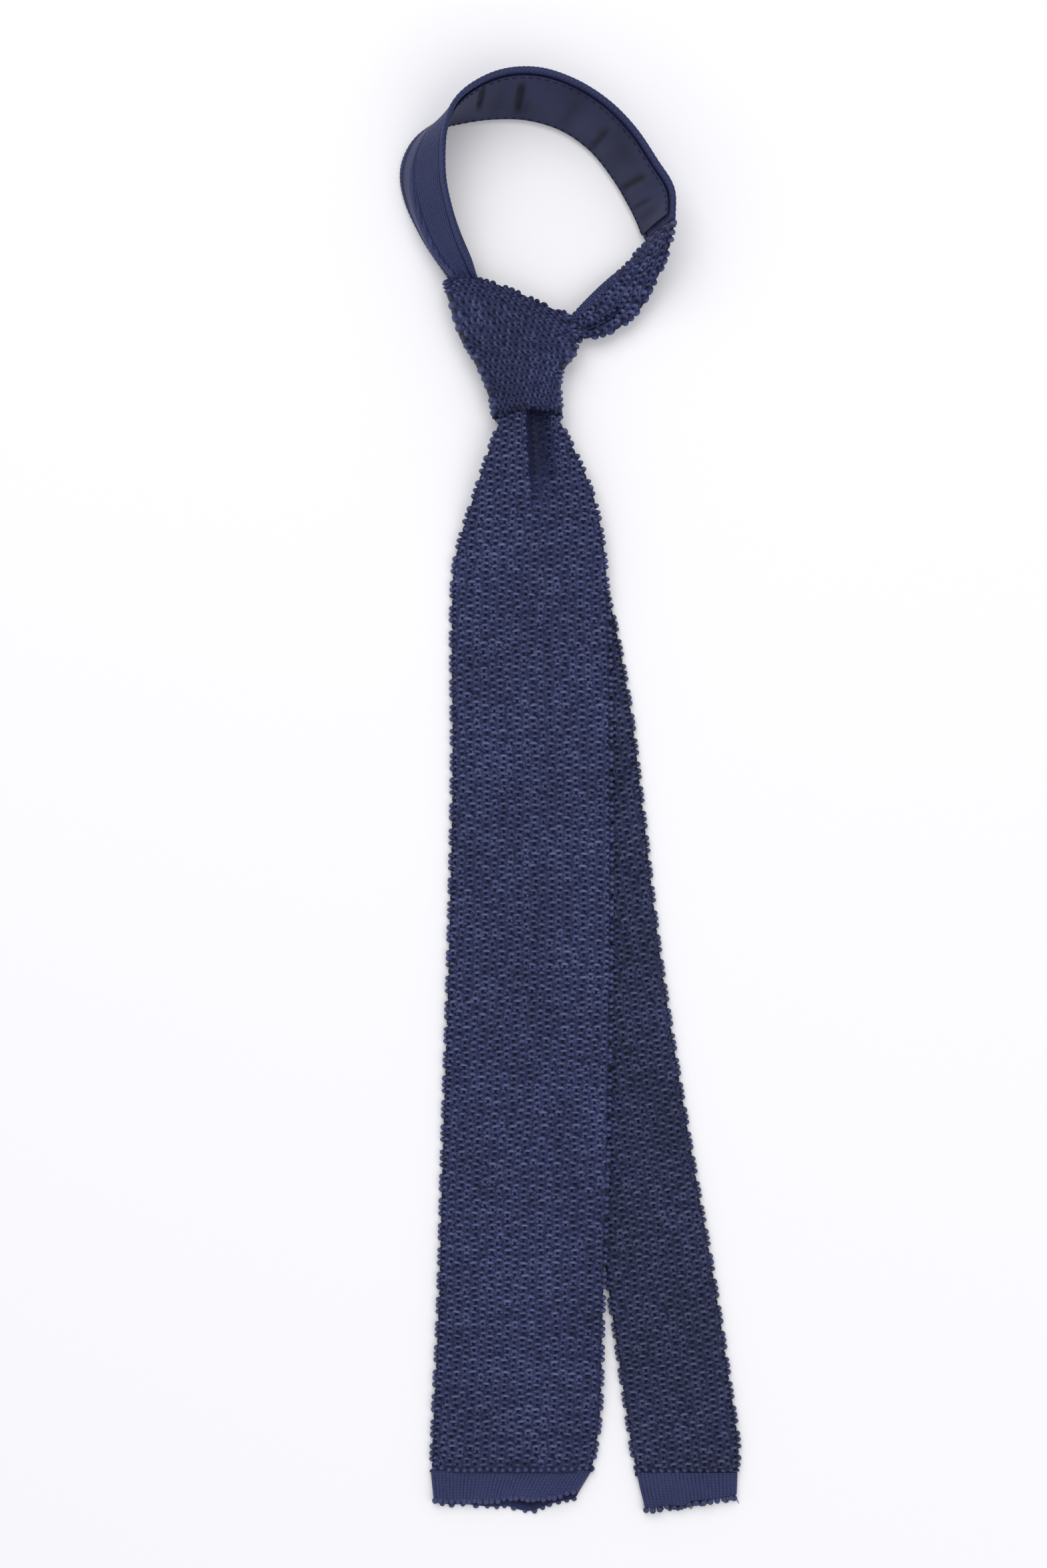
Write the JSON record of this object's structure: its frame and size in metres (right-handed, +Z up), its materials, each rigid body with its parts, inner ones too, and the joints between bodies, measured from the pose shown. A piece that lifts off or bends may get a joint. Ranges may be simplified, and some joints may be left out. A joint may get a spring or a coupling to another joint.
{
  "type": "necktie",
  "caption": "Knitted necktie tied in a four-in-hand knot and laid flat, with square hemmed blades, a lined neckband and a sliding knot.",
  "frame": {"origin": "bottom centre of the tie's bounding box, on the table that the tie lies on", "axes": "+Y along the tie towards the neck loop, +Z up from the table, +X to the side that the tail lies on"},
  "size_m": [0.1338, 0.5627, 0.0293],
  "materials": {
    "crunch_knit": "dry, crunchy navy silk knit of raised tuck stitches with a soft sheen",
    "fine_knit": "fine plain-knit navy silk with V-shaped stitches",
    "lining_satin": "dark navy lining satin, smooth with a low sheen",
    "sewing_thread": "very dark navy sewing thread"
  },
  "bodies": {
    "knot": {"knot_front_wrap": "crunch_knit", "knot_back_wrap": "crunch_knit", "knot_first_cross": "crunch_knit", "knot_over_turn": "crunch_knit", "blade_throat": "crunch_knit"},
    "neck_loop": {"neckband_arch": "fine_knit", "neckband_lining": "lining_satin", "lining_stitch_upper": "sewing_thread", "lining_stitch_lower": "sewing_thread", "neckband_seam": "fine_knit", "neckband_left_leg": "fine_knit", "left_leg_lining": "lining_satin", "right_leg": "crunch_knit"},
    "tail_throat": {"tail_throat": "fine_knit"},
    "tail": {"tail_blade": "crunch_knit", "tail_hem": "fine_knit", "tail_edge": "crunch_knit"},
    "front_blade": {"front_blade": "crunch_knit", "front_hem": "fine_knit", "front_edge": "crunch_knit", "keeper_loop": "fine_knit", "keeper_tack_left": "sewing_thread", "keeper_tack_right": "sewing_thread"}
  },
  "joints": [
    {"name": "tail_slide", "type": "slide", "parent": "knot", "child": "tail_throat", "axis": [0.1438, -0.9896, 0], "range_m": [-0.03, 0.02], "deforming": ["tail_throat"]},
    {"name": "tail_swing", "type": "hinge", "parent": "tail_throat", "child": "tail", "pos_m": [-0.0153, 0.1496, 0.0015], "axis": [0, 0, 1], "range_deg": [0, 25]},
    {"name": "loop_slide", "type": "slide", "parent": "knot", "child": "neck_loop", "axis": [0, -1, 0], "range_m": [-0.015, 0.01], "deforming": ["neckband_left_leg", "left_leg_lining", "right_leg"]},
    {"name": "front_blade_lift", "type": "hinge", "parent": "knot", "child": "front_blade", "pos_m": [-0.0165, 0.1479, 0.0102], "axis": [-1, 0, 0], "range_deg": [0, 80]}
  ],
  "couplings": [
    {"joint": "loop_slide", "follows": "tail_slide", "ratio": 0.5}
  ]
}
